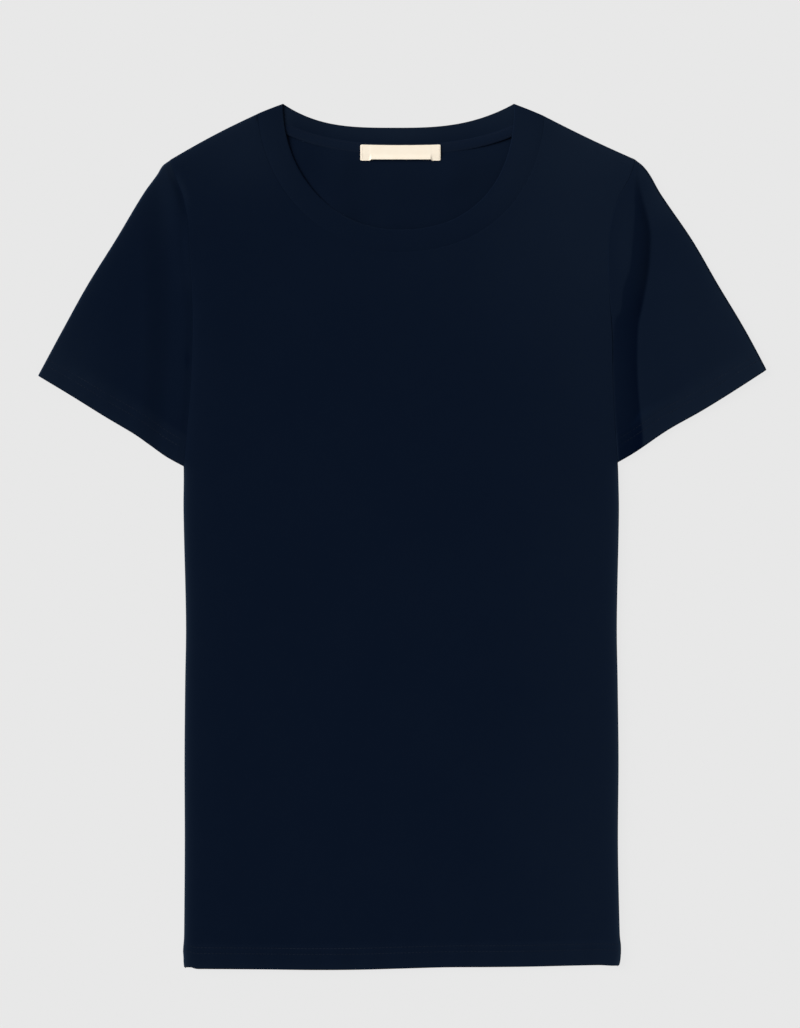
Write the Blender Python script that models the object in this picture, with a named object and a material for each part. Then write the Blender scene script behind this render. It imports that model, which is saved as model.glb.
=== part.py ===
"""A crew neck T-shirt lying flat with its front up, built as the pieces that are cut and sewn.

Blender 4.5, metres, +Z up, neck towards +Y. The origin is on the table under the middle of the garment.
The sizes below are in millimetres, and build_wall() turns them into metres.
"""

import math
from collections import namedtuple

import bmesh
import bpy
from mathutils import Vector

MILLIMETRE = 0.001

# Cloth
JERSEY = 1.0            # one layer of jersey
HEM_CLOTH = 1.5         # jersey with its hem turned up inside
RIB = 1.4               # the neckband, folded double
TRIM = 1.0              # the neck tape and the label
GAP = 0.3               # between pieces that are sewn together
SLANT_GAP = 0.33        # the same, measured across a slanting armhole

# Heights above the table
BODY_HEIGHT = 3.9       # outer face of the front over the body
SHOULDER_RISE = 0.7     # how much higher it lies towards the shoulders
SHOULDER_ZONE = (110.0, 250.0)          # where up the garment it gains that
EDGE_SPRING = 0.4       # how much the folded sides spring up
SPRING_REACH = 16.0     # how far in they do so
SPRING_ZONE = (190.0, 260.0)            # where up the armhole that ends
HEM_LIFT = 0.3          # how proud the hems stand
SLEEVE_HEIGHT = 4.6     # outer face of the sleeves
SEAM_HEIGHT = 2.45      # where front and back meet at the sides and shoulders
FOLD_HEIGHT = 4.8       # neckband where it folds over at the shoulders
EDGE_WIDTH = 2.0        # how far in a rounded edge reaches

# Body
HEM_DEPTH = 18.0
HEM_SAG = 2.5           # how much lower the hem lies in the middle than at its corners
HEM_LOW, HEM_HIGH = -348.5, -346.9      # height of its left and right corners on the table
SHOULDER_BOW = 1.6      # how much the left shoulder line bulges

# Sides of the body, from the hem to the top of the armholes: where the edge lies at each step up the
# garment, and how far the front and the back are rounded there towards each other, 0 or 1.
Edge = namedtuple("Edge", "y left right front_curl back_curl")
SIDES = [
    Edge(-348.0, -177.0, 176.6, 1, 1),      # hem corner
    Edge(-325.0, -176.4, 174.8, 1, 1),
    Edge(-250.0, -175.4, 173.5, 1, 1),
    Edge(-70.0, -174.6, 172.6, 1, 1),       # waist
    Edge(20.0, -176.6, 174.0, 1, 1),
    Edge(48.0, -177.0, 174.3, 1, 1),
    Edge(60.0, -176.9, 174.2, 1, 0),        # underarm
    Edge(96.0, -173.3, 172.0, 1, 0),        # end of the sleeve's underarm seam
    Edge(130.0, -170.7, 170.6, 1, 0),
    Edge(162.0, -169.7, 170.2, 1, 0),
    Edge(192.0, -169.9, 168.2, 1, 0),       # from here up the armhole seam lies open
    Edge(212.0, -170.8, 167.0, 0, 0),
    Edge(232.0, -172.1, 166.9, 0, 0),
    Edge(250.0, -173.1, 168.4, 0, 0),
    Edge(264.0, -175.1, 171.6, 0, 0),
    Edge(277.0, -178.1, 176.6, 0, 0),
    Edge(291.0, -183.8, 184.4, 0, 0),
    Edge(304.7, -187.6, 188.8, 0, 0),       # top of the armhole
]
UNDERARM, TUCK_START, TUCK_END = 60.0, 96.0, 192.0
ARMHOLE_TOP = {"left": 305.1, "right": 304.3}
HEM_TOP = SIDES[0].y + HEM_DEPTH
# Rows of the panels: those of the table, both sides of the hem's top edge, and some between
PANEL_ROWS = sorted([row.y for row in SIDES[1:-1]] + [HEM_TOP - 0.5, HEM_TOP + 1.0, -290.0, -205.0, -160.0,
                                                      -115.0, -25.0])

# Neck
NECK_CENTRE = Vector((-3.0, 350.4))
Neckline = namedtuple("Neckline", "left right drop left_power right_power")
NECK_EDGE = Neckline(left=93.7, right=93.7, drop=102.2, left_power=2.03, right_power=2.3)
NECK_SEAM = Neckline(left=114.4, right=118.0, drop=120.0, left_power=2.0, right_power=2.2)
SEAM_START, SEAM_END = math.radians(4.65), math.radians(175.6)     # where the seam meets the shoulders
BACK_EDGE_DROP, BACK_EDGE_POWER = 19.9, 3.4
BACK_SEAM_DROP, BACK_SEAM_POWER = 26.5, 2.6
TAPE_WIDTH, TAPE_RISE = 9.0, 3.7        # its middle lies this far above the back neck seam
TAPE_LEFT, TAPE_RIGHT = -104.0, 100.0
LABEL_LEFT, LABEL_RIGHT, LABEL_TOP, LABEL_BOTTOM = -34.3, 30.6, 318.1, 303.5
LABEL_BOW = 0.6         # how much its middle stands off
LABEL_TILT = 1.2        # how much lower its bottom edge lies, past the tape
TAPE_STEPS, LABEL_COLUMNS, LABEL_ROWS = 24, 16, 4
BAND_RIDGE = 0.1        # how proud the neckband stands of the front
FOLD_SHARE = 0.1        # share of the neckline over which it rises to the shoulder folds
# Across the neckband: share of its width, and how much of its thickness is left at its folded edge
BAND_STEPS = [(0.0, 1.0), (0.33, 1.0), (0.67, 1.0), (0.93, 1.0), (0.98, 0.75), (1.0, 0.35)]

# Outer edge of the folded sleeves, from the armhole to the cuff
Overarm = namedtuple("Overarm", "y left right")
OVERARM = [
    Overarm(131.0, -294.4, 297.0),
    Overarm(167.0, -275.3, 278.1),
    Overarm(204.0, -254.8, 256.0),
    Overarm(240.0, -232.3, 235.1),
    Overarm(277.0, -210.1, 209.8),
    Overarm(293.0, -198.6, 200.6),
    Overarm(300.0, -194.2, 195.0),
    Overarm(304.7, -187.9, 189.1),
]
CUFF_TIP = {"left": 131.2, "right": 136.2}
# Rings of a sleeve: share of the way down the overarm, place of the ring on the underarm seam, cloth.
# From the armhole they close up beside the body, and in the hem they run along the cuff.
Ring = namedtuple("Ring", "share underarm cloth")
HEM_SHARE, HEM_UNDERARM = 0.907, 80.0
SLEEVE_RINGS = [Ring(share, 96.0 + (HEM_UNDERARM - 96.0) * share / HEM_SHARE, JERSEY)
                for share in (0.0, 0.025, 0.06, 0.12, 0.21, 0.33, 0.46, 0.59, 0.72, 0.84, HEM_SHARE)]
SLEEVE_RINGS += [Ring(0.917, 79.0, HEM_CLOTH), Ring(0.96, 69.5, HEM_CLOTH), Ring(1.0, 60.8, HEM_CLOTH)]
TUCK = 6.0              # how far the sleeve reaches under the front's folded edge
VALLEY_START = 3.0      # how far from the body the sleeve starts to rise
# How high the sleeve lies beside the body, up the armhole
SLEEVE_FOOT = [(60.0, 3.7), (80.0, 3.5), (96.0, 2.3), (192.0, 2.3), (240.0, 4.6), (305.0, 4.7)]
VALLEY_WIDTH = {"left": 42.0, "right": 26.0}

# Troughs in the sleeves: from one point to another, how wide and how deep
Trough = namedtuple("Trough", "start end width depth")
TROUGHS = [
    Trough(Vector((180.7, 74.0)), Vector((181.4, 167.0)), 9.0, 0.9),
    Trough(Vector((181.4, 167.0)), Vector((195.2, 244.0)), 8.0, 1.3),
    Trough(Vector((195.2, 244.0)), Vector((189.6, 277.0)), 6.0, 0.7),
    Trough(Vector((-203.0, 78.0)), Vector((-198.0, 272.0)), 12.0, 0.6),
]

# Steps round a rounded edge and along the two necklines
LEVEL = math.pi / 2
ROLL = [math.radians(angle) for angle in (0, 30, 60, 90)]
SHOULDER_SHARE = (0.185, 0.805)         # the neckline's share of the panels' width
SHOULDER_STEPS = [0.33, 0.67]
FRONT_NECK_STEPS = [0.0, 0.012] + [step / 20 for step in range(1, 20)] + [0.988, 1.0]
BACK_NECK_STEPS = [0.0, 0.03] + [step / 12 for step in range(1, 12)] + [0.97, 1.0]

NAVY = (0.004, 0.007, 0.017, 1.0)
NAVY_RIB = (0.005, 0.008, 0.019, 1.0)
NAVY_TAPE = (0.009, 0.013, 0.024, 1.0)
CREAM = (0.80, 0.70, 0.58, 1.0)


# ------------------------------------------------------------------------------------------ plain helpers

def blend(start, end, share):
    return start + (end - start) * share


def rise(value, start, end):
    """0 below start, 1 above end and a soft step between."""
    share = min(max((value - start) / (end - start), 0.0), 1.0)
    return share * share * (3 - 2 * share)


def read_table(rows, place, column):
    """A column's value at a place between the rows, which run upwards in their first column."""
    last = len(rows) - 1
    low = max(index for index in range(last) if index == 0 or rows[index][0] <= place)
    high = low + 1

    def slope(index):
        before, after = rows[max(index - 1, 0)], rows[min(index + 1, last)]
        return (after[column] - before[column]) / (after[0] - before[0])

    width = rows[high][0] - rows[low][0]
    share = (place - rows[low][0]) / width
    bend_low = slope(low) * width * share * (1 - share) ** 2
    bend_high = slope(high) * width * share ** 2 * (1 - share)
    straight = blend(rows[low][column], rows[high][column], rise(share, 0.0, 1.0))
    return straight + bend_low - bend_high


def read_straight(rows, place, column):
    """The same with straight lines between the rows."""
    last = len(rows) - 1
    low = max(index for index in range(last) if index == 0 or rows[index][0] <= place)
    share = min(max((place - rows[low][0]) / (rows[low + 1][0] - rows[low][0]), 0.0), 1.0)
    return blend(rows[low][column], rows[low + 1][column], share)


def outwards(side):
    return -1 if side == "left" else 1


class Sheet:
    """A flat sheet spanned by four edge curves: u runs from the left to the right, v from bottom to top.
    How far the shape of the left and right edges carries into it is a share of its width."""

    def __init__(self, left, right, bottom, top, carry=1.0):
        self.left, self.right, self.bottom, self.top, self.carry = left, right, bottom, top, carry

    def at(self, u, v):
        bulge_left = self.left(v) - self.left(0.0).lerp(self.left(1.0), v)
        bulge_right = self.right(v) - self.right(0.0).lerp(self.right(1.0), v)
        from_left = max(1 - u / self.carry, 0.0)
        from_right = max(1 - (1 - u) / self.carry, 0.0)
        return self.bottom(u).lerp(self.top(u), v) + bulge_left * from_left + bulge_right * from_right


def step_in(place, turn, span, curl, cloth):
    """How far across a span the outer and the inner face of the cloth are at one step of its section, and
    how level the cloth lies there. Steps at place 0 or 1 go round that edge."""
    if 0.0 < place < 1.0:
        return place, place, 1.0
    outer = EDGE_WIDTH * (1 - math.cos(turn)) / span
    inner = outer + curl * cloth * math.cos(turn) / span
    if place == 1.0:
        outer, inner = 1 - outer, 1 - inner
    return outer, inner, math.sin(turn)


def make_material(name, colour, roughness):
    material = bpy.data.materials.new(name)
    material.use_nodes = True
    shader = material.node_tree.nodes["Principled BSDF"]
    shader.inputs["Base Color"].default_value = colour
    shader.inputs["Roughness"].default_value = roughness
    shader.inputs["Metallic"].default_value = 0.0
    return material


def build_wall(name, outer, inner, colour, roughness, closed=False):
    """A closed solid between two grids of points. In a closed grid each row's end meets its start."""
    mesh = bmesh.new()
    faces = [[[mesh.verts.new(point * MILLIMETRE) for point in row] for row in grid]
             for grid in (outer, inner)]
    rows, columns = len(outer), len(outer[0])
    across = columns if closed else columns - 1
    for row in range(rows - 1):
        for column in range(across):
            right = (column + 1) % columns
            for face in faces:
                mesh.faces.new((face[row][column], face[row][right],
                                face[row + 1][right], face[row + 1][column]))
    for row in (0, rows - 1):
        for column in range(across):
            right = (column + 1) % columns
            mesh.faces.new((faces[0][row][column], faces[0][row][right],
                            faces[1][row][right], faces[1][row][column]))
    if not closed:
        for column in (0, columns - 1):
            for row in range(rows - 1):
                mesh.faces.new((faces[0][row][column], faces[0][row + 1][column],
                                faces[1][row + 1][column], faces[1][row][column]))
    bmesh.ops.recalc_face_normals(mesh, faces=mesh.faces)
    data = bpy.data.meshes.new(name)
    mesh.to_mesh(data)
    mesh.free()
    data.shade_smooth()
    data.set_sharp_from_angle(angle=math.radians(50))
    data.materials.append(make_material(name + "_cloth", colour, roughness))
    piece = bpy.data.objects.new(name, data)
    bpy.context.collection.objects.link(piece)
    return piece


# ---------------------------------------------------------------------------------------- edges of the cut

def share_up(y):
    """Share of the way from the hem to the top of the armholes."""
    return (y - SIDES[0].y) / (SIDES[-1].y - SIDES[0].y)


def body_edge(side, share):
    """Side seam and armhole."""
    low = HEM_LOW if side == "left" else HEM_HIGH
    y = blend(low, ARMHOLE_TOP[side], share)
    return Vector((read_table(SIDES, y, Edge._fields.index(side)), y))


def body_hem(share):
    """Bottom edge of both panels."""
    corner = body_edge("left", 0.0).lerp(body_edge("right", 0.0), share)
    return corner - Vector((0.0, HEM_SAG * (1 - (2 * share - 1) ** 2)))


def front_curve(line, turn):
    """A neckline on the front: half a flattened circle, from the left shoulder round to the right one."""
    on_left = turn < LEVEL
    half, power = (line.left, line.left_power) if on_left else (line.right, line.right_power)
    reach = half * abs(math.cos(turn)) ** (2 / power)
    drop = line.drop * abs(math.sin(turn)) ** (2 / power)
    return NECK_CENTRE + Vector((-reach if on_left else reach, -drop))


def front_edge(share):
    """Folded edge of the neckband at the front."""
    return front_curve(NECK_EDGE, math.pi * share)


def front_seam(share):
    """Front neck seam."""
    return front_curve(NECK_SEAM, blend(SEAM_START, SEAM_END, share))


def back_curve(left, right, drop, power, share):
    sag = drop * (1 - abs(2 * share - 1) ** power)
    return left.lerp(right, share) - Vector((0.0, sag))


def back_edge(share):
    """Folded edge of the neckband at the back."""
    return back_curve(front_edge(0.0), front_edge(1.0), BACK_EDGE_DROP, BACK_EDGE_POWER, share)


def back_seam(share):
    """Back neck seam."""
    return back_curve(front_seam(0.0), front_seam(1.0), BACK_SEAM_DROP, BACK_SEAM_POWER, share)


def beside(curve, share):
    """A point on the far side of the seam's gap from the neckband."""
    run = (curve(min(share + 0.001, 1.0)) - curve(max(share - 0.001, 0.0))).normalized()
    return curve(share) + GAP * Vector((run.y, -run.x))


def panel_top(seam, share):
    """Top edge of a panel: shoulder, neckline, shoulder."""
    start, end = SHOULDER_SHARE
    if start < share < end:
        return beside(seam, (share - start) / (end - start))
    if share <= start:
        along = share / start
        bow = SHOULDER_BOW * math.sin(math.pi * along)
        return body_edge("left", 1.0).lerp(beside(seam, 0.0), along) + Vector((0.0, bow))
    return body_edge("right", 1.0).lerp(beside(seam, 1.0), (1 - share) / (1 - end))


# -------------------------------------------------------------------------------------------- body panels

def front_height(point):
    """Height of the front's outer face."""
    edge_left = read_table(SIDES, point.y, Edge._fields.index("left"))
    edge_right = read_table(SIDES, point.y, Edge._fields.index("right"))
    inside = max(min(point.x - edge_left, edge_right - point.x), 0.0)
    spring = EDGE_SPRING * math.exp(-inside / SPRING_REACH) * (1 - rise(point.y, *SPRING_ZONE))
    return BODY_HEIGHT + SHOULDER_RISE * rise(point.y, *SHOULDER_ZONE) + spring


def panel_steps(neck_steps):
    start, end = SHOULDER_SHARE
    left = [start * step for step in SHOULDER_STEPS]
    right = [1 - (1 - end) * (1 - step) for step in SHOULDER_STEPS]
    middle = left + [blend(start, end, step) for step in neck_steps] + right
    columns = [(0.0, turn) for turn in ROLL] + [(step, LEVEL) for step in middle]
    columns += [(1.0, turn) for turn in reversed(ROLL)]
    rows = [(None, 0.0)] + [(None, share_up(y)) for y in PANEL_ROWS]
    rows += [(turn, 1.0) for turn in reversed(ROLL)]
    return columns, rows


def make_panel(name, seam, neck_steps, is_front):
    """A body panel with its hem turned up: its sides and shoulders are rounded towards the other panel."""
    sheet = Sheet(lambda v: body_edge("left", v), lambda v: body_edge("right", v),
                  body_hem, lambda u: panel_top(seam, u), carry=SHOULDER_SHARE[0])
    columns, rows = panel_steps(neck_steps)
    outer, inner = [], []
    for turn, share in rows:
        y = blend(SIDES[0].y, SIDES[-1].y, share)
        side_curl = read_straight(SIDES, y, Edge._fields.index("front_curl" if is_front else "back_curl"))
        in_hem = y < HEM_TOP
        cloth = HEM_CLOTH if in_hem else JERSEY
        width = (sheet.right(share) - sheet.left(share)).length
        outer_row, inner_row = [], []
        for place, side_turn in columns:
            over_neck = SHOULDER_SHARE[0] < place < SHOULDER_SHARE[1]
            top_curl = 0.0 if over_neck else 1.0
            length = (sheet.top(place) - sheet.bottom(place)).length
            u_out, u_in, side_level = step_in(place, side_turn, width, side_curl, cloth)
            v_out, v_in, top_level = share, share, 1.0
            if turn is not None:
                v_out, v_in, top_level = step_in(1.0, turn, length, top_curl, cloth)
            across = side_curl * side_level + 1 - side_curl
            along = top_curl * top_level + 1 - top_curl
            outside, inside = sheet.at(u_out, v_out), sheet.at(u_in, v_in)
            if is_front:
                meet = SEAM_HEIGHT + GAP / 2
                height = front_height(outside) + (HEM_LIFT if in_hem else 0.0)
                height = blend(meet, height, across)
                height = blend(meet, height, along)
                lower = height - cloth * across * along
            else:
                meet = SEAM_HEIGHT - GAP / 2
                height = blend(meet, 0.0, across)
                height = blend(meet, height, along)
                lower = height + cloth * across * along
            outer_row.append(Vector((outside.x, outside.y, height)))
            inner_row.append(Vector((inside.x, inside.y, lower)))
        outer.append(outer_row)
        inner.append(inner_row)
    return build_wall(name, outer, inner, NAVY, 0.85)


# ------------------------------------------------------------------------------------------------ sleeves

def trough_depth(point):
    depth = 0.0
    for trough in TROUGHS:
        run = trough.end - trough.start
        share = min(max((point - trough.start).dot(run) / run.length_squared, 0.0), 1.0)
        away = (point - trough.start.lerp(trough.end, share)).length
        depth = max(depth, trough.depth * math.exp(-(away / trough.width) ** 2))
    return depth


def sleeve_height(side, point, cloth):
    """Height of a sleeve's outer face: low beside the body, full towards the folded edge."""
    column = Edge._fields.index(side)
    edge = read_table(SIDES, max(point.y, UNDERARM), column)
    away = (point.x - edge) * outwards(side)
    foot = read_straight(SLEEVE_FOOT, point.y, 1)
    height = blend(foot, SLEEVE_HEIGHT, rise(away, VALLEY_START, VALLEY_WIDTH[side]))
    height -= trough_depth(point)
    if cloth == HEM_CLOTH:
        height += HEM_LIFT
    return max(height, 2 * cloth + GAP)


def make_sleeve(side):
    """A sleeve, folded along the top of the arm, with its underarm seam beside the body."""
    out = outwards(side)
    clear = Vector((out * SLANT_GAP, 0.0))
    start = share_up(TUCK_START)

    def armhole(share, tucked):
        edge = body_edge(side, blend(start, 1.0, share)) + clear
        if tucked and TUCK_START + 2 * EDGE_WIDTH < edge.y < TUCK_END - EDGE_WIDTH:
            edge.x -= out * TUCK
        return edge

    def underarm(share):
        rows = [(ring.share, ring.underarm) for ring in SLEEVE_RINGS]
        down = (TUCK_START - read_straight(rows, share, 1)) / (TUCK_START - UNDERARM)
        return body_edge(side, start).lerp(body_edge(side, share_up(UNDERARM)), down) + clear

    def overarm(share):
        y = blend(OVERARM[-1].y, CUFF_TIP[side], share)
        return Vector((read_table(OVERARM, y, Overarm._fields.index(side)), y))

    def cuff(share):
        return underarm(1.0).lerp(overarm(1.0), share)

    sheets = {face: Sheet(underarm, overarm, lambda u, face=face: armhole(u, face > 0), cuff)
              for face in (1, -1)}
    between = [(row.y - TUCK_START) / (SIDES[-1].y - TUCK_START) for row in SIDES
               if TUCK_START < row.y < SIDES[-1].y]
    top = [(0.0, turn) for turn in ROLL] + [(step, LEVEL) for step in between]
    top += [(1.0, turn) for turn in reversed(ROLL)]
    steps = [(place, turn, 1) for place, turn in top]
    steps += [(place, turn, -1) for place, turn in reversed(top[1:-1])]
    outer, inner = [], []
    for ring in SLEEVE_RINGS:
        span = (overarm(ring.share) - underarm(ring.share)).length
        outer_ring, inner_ring = [], []
        for place, turn, face in steps:
            u_out, u_in, level = step_in(place, turn, span, 1.0, ring.cloth)
            outside = sheets[face].at(u_out, ring.share)
            inside = sheets[face].at(u_in, ring.share)
            half = sleeve_height(side, outside, ring.cloth) / 2
            outer_ring.append(Vector((outside.x, outside.y, half + face * level * half)))
            inner_ring.append(Vector((inside.x, inside.y, half + face * level * (half - ring.cloth))))
        outer.append(outer_ring)
        inner.append(inner_ring)
    return build_wall("sleeve_" + side, outer, inner, NAVY, 0.85, closed=True)


# ------------------------------------------------------------------------------------ neckband, tape, label

# A section across the neckband: ends of its outer face and of its inner face, and the faces' heights
Section = namedtuple("Section", "outer_seam outer_edge inner_seam inner_edge outer_height inner_height")


def flat_section(seam, edge, outer_height, inner_height):
    return Section(seam, edge, seam, edge, outer_height, inner_height)


def shoulder_fold(side):
    """Sections of the neckband as it folds over at a shoulder, from the front down to the back."""
    here = 0.0 if side == "left" else 1.0
    seam, edge = front_seam(here), front_edge(here)
    along = (edge - seam).normalized()
    out = Vector((along.y, -along.x)) * outwards(side)
    radius = FOLD_HEIGHT / 2

    def inset(start, curve, step, distance):
        """Slide along a curve until the point is this far inside the fold."""
        run = curve(abs(here - step)) - start
        return start - run * (distance / run.dot(out))

    sections = []
    for angle in (90, 60, 30, 0, -30, -60, -90):
        turn = math.radians(angle)
        outer_in = radius * (1 - math.cos(turn))
        inner_in = outer_in + RIB * math.cos(turn)
        curves = (front_seam, front_edge) if angle > 0 else (back_seam, back_edge)
        step = FRONT_NECK_STEPS[1] if angle > 0 else BACK_NECK_STEPS[1]
        ends = [inset(start, curve, step, distance) for distance in (outer_in, inner_in)
                for start, curve in zip((seam, edge), curves)]
        outer_height = radius * (1 + math.sin(turn))
        sections.append(Section(*ends, outer_height, outer_height - RIB * math.sin(turn)))
    return sections


def make_neckband():
    """A strip of rib, folded double and closed into a ring, half on the front and half on the back."""
    sections = shoulder_fold("left")[::-1]
    for step in FRONT_NECK_STEPS[1:-1]:
        near_fold = 1 - rise(min(step, 1 - step), 0.0, FOLD_SHARE)
        height = blend(front_height(front_seam(step)) + BAND_RIDGE, FOLD_HEIGHT, near_fold)
        sections.append(flat_section(front_seam(step), front_edge(step), height, height - RIB))
    sections += shoulder_fold("right")
    for step in BACK_NECK_STEPS[-2:0:-1]:
        sections.append(flat_section(back_seam(step), back_edge(step), 0.0, RIB))
    outer, inner = [], []
    for across, fullness in BAND_STEPS:
        outer_row, inner_row = [], []
        for section in sections:
            outside = section.outer_seam.lerp(section.outer_edge, across)
            inside = section.inner_seam.lerp(section.inner_edge, across)
            outside = Vector((*outside, section.outer_height))
            inside = Vector((*inside, section.inner_height))
            middle = (outside + inside) / 2
            outer_row.append(middle.lerp(outside, fullness))
            inner_row.append(middle.lerp(inside, fullness))
        outer.append(outer_row)
        inner.append(inner_row)
    return build_wall("neckband", outer, inner, NAVY_RIB, 0.8, closed=True)


def make_tape():
    """Tape over the back neck seam. Its ends lie under the front's neckband."""
    left, right = back_seam(0.0).x, back_seam(1.0).x
    rows = []
    for above_seam in (TAPE_RISE - TAPE_WIDTH / 2, TAPE_RISE + TAPE_WIDTH / 2):
        row = []
        for step in range(TAPE_STEPS + 1):
            x = blend(TAPE_LEFT, TAPE_RIGHT, step / TAPE_STEPS)
            row.append(Vector((x, back_seam((x - left) / (right - left)).y + above_seam)))
        rows.append(row)
    low = RIB + GAP
    top = [[Vector((*point, low + TRIM)) for point in row] for row in rows]
    bottom = [[Vector((*point, low)) for point in row] for row in rows]
    return build_wall("neck_tape", top, bottom, NAVY_TAPE, 0.85)


def make_label():
    """A woven label over the tape and the back panel, bowed between its two tacked ends."""
    on_tape = RIB + GAP + TRIM + GAP
    middle = (LABEL_BOTTOM + LABEL_TOP) / 2
    top, bottom = [], []
    for row in range(LABEL_ROWS + 1):
        y = blend(LABEL_BOTTOM, LABEL_TOP, row / LABEL_ROWS)
        tilt = LABEL_TILT * (1 - rise(y, LABEL_BOTTOM, middle))
        line = []
        for column in range(LABEL_COLUMNS + 1):
            share = column / LABEL_COLUMNS
            bow = LABEL_BOW * math.sin(math.pi * share)
            line.append(Vector((blend(LABEL_LEFT, LABEL_RIGHT, share), y, on_tape - tilt + bow)))
        bottom.append(line)
        top.append([point + Vector((0.0, 0.0, TRIM)) for point in line])
    return build_wall("label", top, bottom, CREAM, 0.7)


for old in list(bpy.data.objects):
    bpy.data.objects.remove(old, do_unlink=True)

make_panel("back", back_seam, BACK_NECK_STEPS, is_front=False)
make_panel("front", front_seam, FRONT_NECK_STEPS, is_front=True)
make_sleeve("left")
make_sleeve("right")
make_neckband()
make_tape()
make_label()
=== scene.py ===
import math

import bpy
import numpy as np
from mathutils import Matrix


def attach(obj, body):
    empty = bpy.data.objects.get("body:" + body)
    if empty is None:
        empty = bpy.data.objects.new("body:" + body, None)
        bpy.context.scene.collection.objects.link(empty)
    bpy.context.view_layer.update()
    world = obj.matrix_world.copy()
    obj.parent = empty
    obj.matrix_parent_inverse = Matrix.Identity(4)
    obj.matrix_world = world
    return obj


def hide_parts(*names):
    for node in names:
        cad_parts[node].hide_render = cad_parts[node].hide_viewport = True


# A crew neck T-shirt in dark navy cotton, lying on a table with its front up. Lengths are in millimetres and
# turned into metres as each mesh is made. +Y runs from the hem up to the neck, +X to the right and +Z up.
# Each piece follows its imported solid, in finer steps and in cloth of its real thickness.

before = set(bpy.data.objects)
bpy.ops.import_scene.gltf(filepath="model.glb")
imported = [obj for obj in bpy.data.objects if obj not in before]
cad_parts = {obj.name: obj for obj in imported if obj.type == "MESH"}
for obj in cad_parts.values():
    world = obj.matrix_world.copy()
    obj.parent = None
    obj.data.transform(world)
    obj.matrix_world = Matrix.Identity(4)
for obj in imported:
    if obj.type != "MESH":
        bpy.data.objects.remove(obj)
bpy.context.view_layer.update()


# -------------------------------------------------------------------------- back
# The back of the body: one layer of navy cotton jersey with a shallow neckline, its hem turned up inside.
# It lies face down on the table. Its inside shows in the neck opening, where it rises a bit in soft folds.

MILLIMETRE = 0.001
JERSEY = 0.7            # thickness of one layer
HEM_FOLD = 0.75         # radius of the fold at the bottom of a hem
HEM_DEPTH = 16.5        # how far the jersey is turned up inside
SEAM_LEVEL = 2.45       # height of the side and shoulder seams
EDGE_WIDTH = 2.0        # how far in a rounded edge reaches
EDGE_STEPS = 8          # steps that round it
BACK_STEPS = (2.2, 3.5, 5.0)            # first steps in from a side, after its rounded edge
STITCH_ROWS = (12.7, 17.4)              # the two rows of hem stitching, measured up from the hem
UNDERSIDE_PULL = 0.3    # how far they draw the lowest layer up off the table
NECK_SHARE = (0.185, 0.805)             # the neckline's share of the panels' width


def table(names, *rows):
    """A short table with named columns."""
    return dict(zip(names.split(), np.array(rows, float).T))


SIDES = table(
    "y left right",
    (-348, -176.8, 175.4),      # hem corner
    (-344.1, -177.2, 176.5),
    (-340.1, -177.25, 177),
    (-335.2, -177.6, 177.3),    # the hem's two layers spread
    (-329.5, -177.2, 177.15),
    (-325.5, -176.85, 176.6),
    (-319.8, -176.7, 176.2),
    (-250, -176.2, 174.8),
    (-180, -176.4, 175.3),
    (-120, -175.9, 174.6),
    (-70, -175.2, 173.9),       # waist
    (20, -177.2, 175.6),
    (48, -177, 175.1),
    (60, -176.9, 174.6),        # underarm
    (96, -173.3, 172),          # end of the sleeve's underarm seam
    (130, -170.7, 170.6),
    (162, -169.7, 170.2),
    (192, -169.9, 168.2),       # from here up the armhole seam lies open
    (212, -170.8, 167),
    (232, -172.1, 166.9),
    (250, -173.1, 168.4),
    (264, -175.1, 171.6),
    (277, -178.1, 176.6),
    (291, -183.8, 184.4),
    (304.7, -187.6, 188.8),     # top of the armhole
)
HEM_LINE = table(       # how much lower the hem lies than a straight line between its corners
    "y drop",
    (0, 0.8), (0.018, 0.85), (0.026, 1.95), (0.05, 2.15), (0.1, 2.35), (0.2, 2.8), (0.3, 3.3), (0.4, 3.2),
    (0.5, 2.4), (0.6, 1.6), (0.7, 1.6), (0.8, 1.4), (0.9, 0.7), (0.955, 0.45), (0.968, 0.65), (0.983, 0.95),
    (1, 0.85),
)
UNDERARM, TUCK_START, TUCK_END = 60.0, 96.0, 192.0
HEM_CORNER = {"left": -348.5, "right": -346.9}
ARMHOLE_TOP = 305.1
SHOULDER_BOW = {"left": 1.3, "right": -0.8}

# The neckband's folded edge and its seam, measured from the neck's centre: half widths, depth, roundness
NECK_CENTRE = np.array((-3.0, 350.4))
NECK_EDGE = {"left": 93.7, "right": 93.7, "drop": 102.2, "left_power": 2.03, "right_power": 2.3}
NECK_SEAM = {"left": 114.4, "right": 118.0, "drop": 120.0, "left_power": 2.0, "right_power": 2.2}
NECK_SEAM_ENDS = (math.radians(3.9), math.radians(176.3))
BACK_EDGE_DROP, BACK_EDGE_POWERS = 19.2, (3.3, 2.7)
BACK_SEAM_DROP, BACK_SEAM_POWERS = 28.0, (2.6, 2.4)
BACK_EDGE_LEVEL = table("y level", (48.0, SEAM_LEVEL), (66.0, 0.4))

# Soft ridges (above 0) and troughs (below 0), each from one point to another
BACK_FOLDS = table(
    "x0 y0 x1 y1 width height",
    (-90, 300, -56, 262, 18, 1.9),
    (-56, 262, -14, 247, 15, 1),
    (-98, 318, -50, 302, 13, 1.1),
    (44, 296, 96, 312, 15, 1.3),
    (-40, 298, 34, 298, 26, 1.3),
    (0, 262, 10, 262, 40, 0.4),
)
# Painted light and shade inside the neck opening
BACK_PAINTED_SHADING = ((0, 320, 70, 30, 0.14), (-80, 300, 20, 40, -0.10), (70, 296, 24, 30, 0.12))   # see shade


def mix(start, end, share):
    return start + (end - start) * share


def soft_step(value, start, end):
    """0 before start, 1 after end and a soft step between."""
    share = np.clip((value - start) / (end - start), 0.0, 1.0)
    return share * share * (3 - 2 * share)


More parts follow.
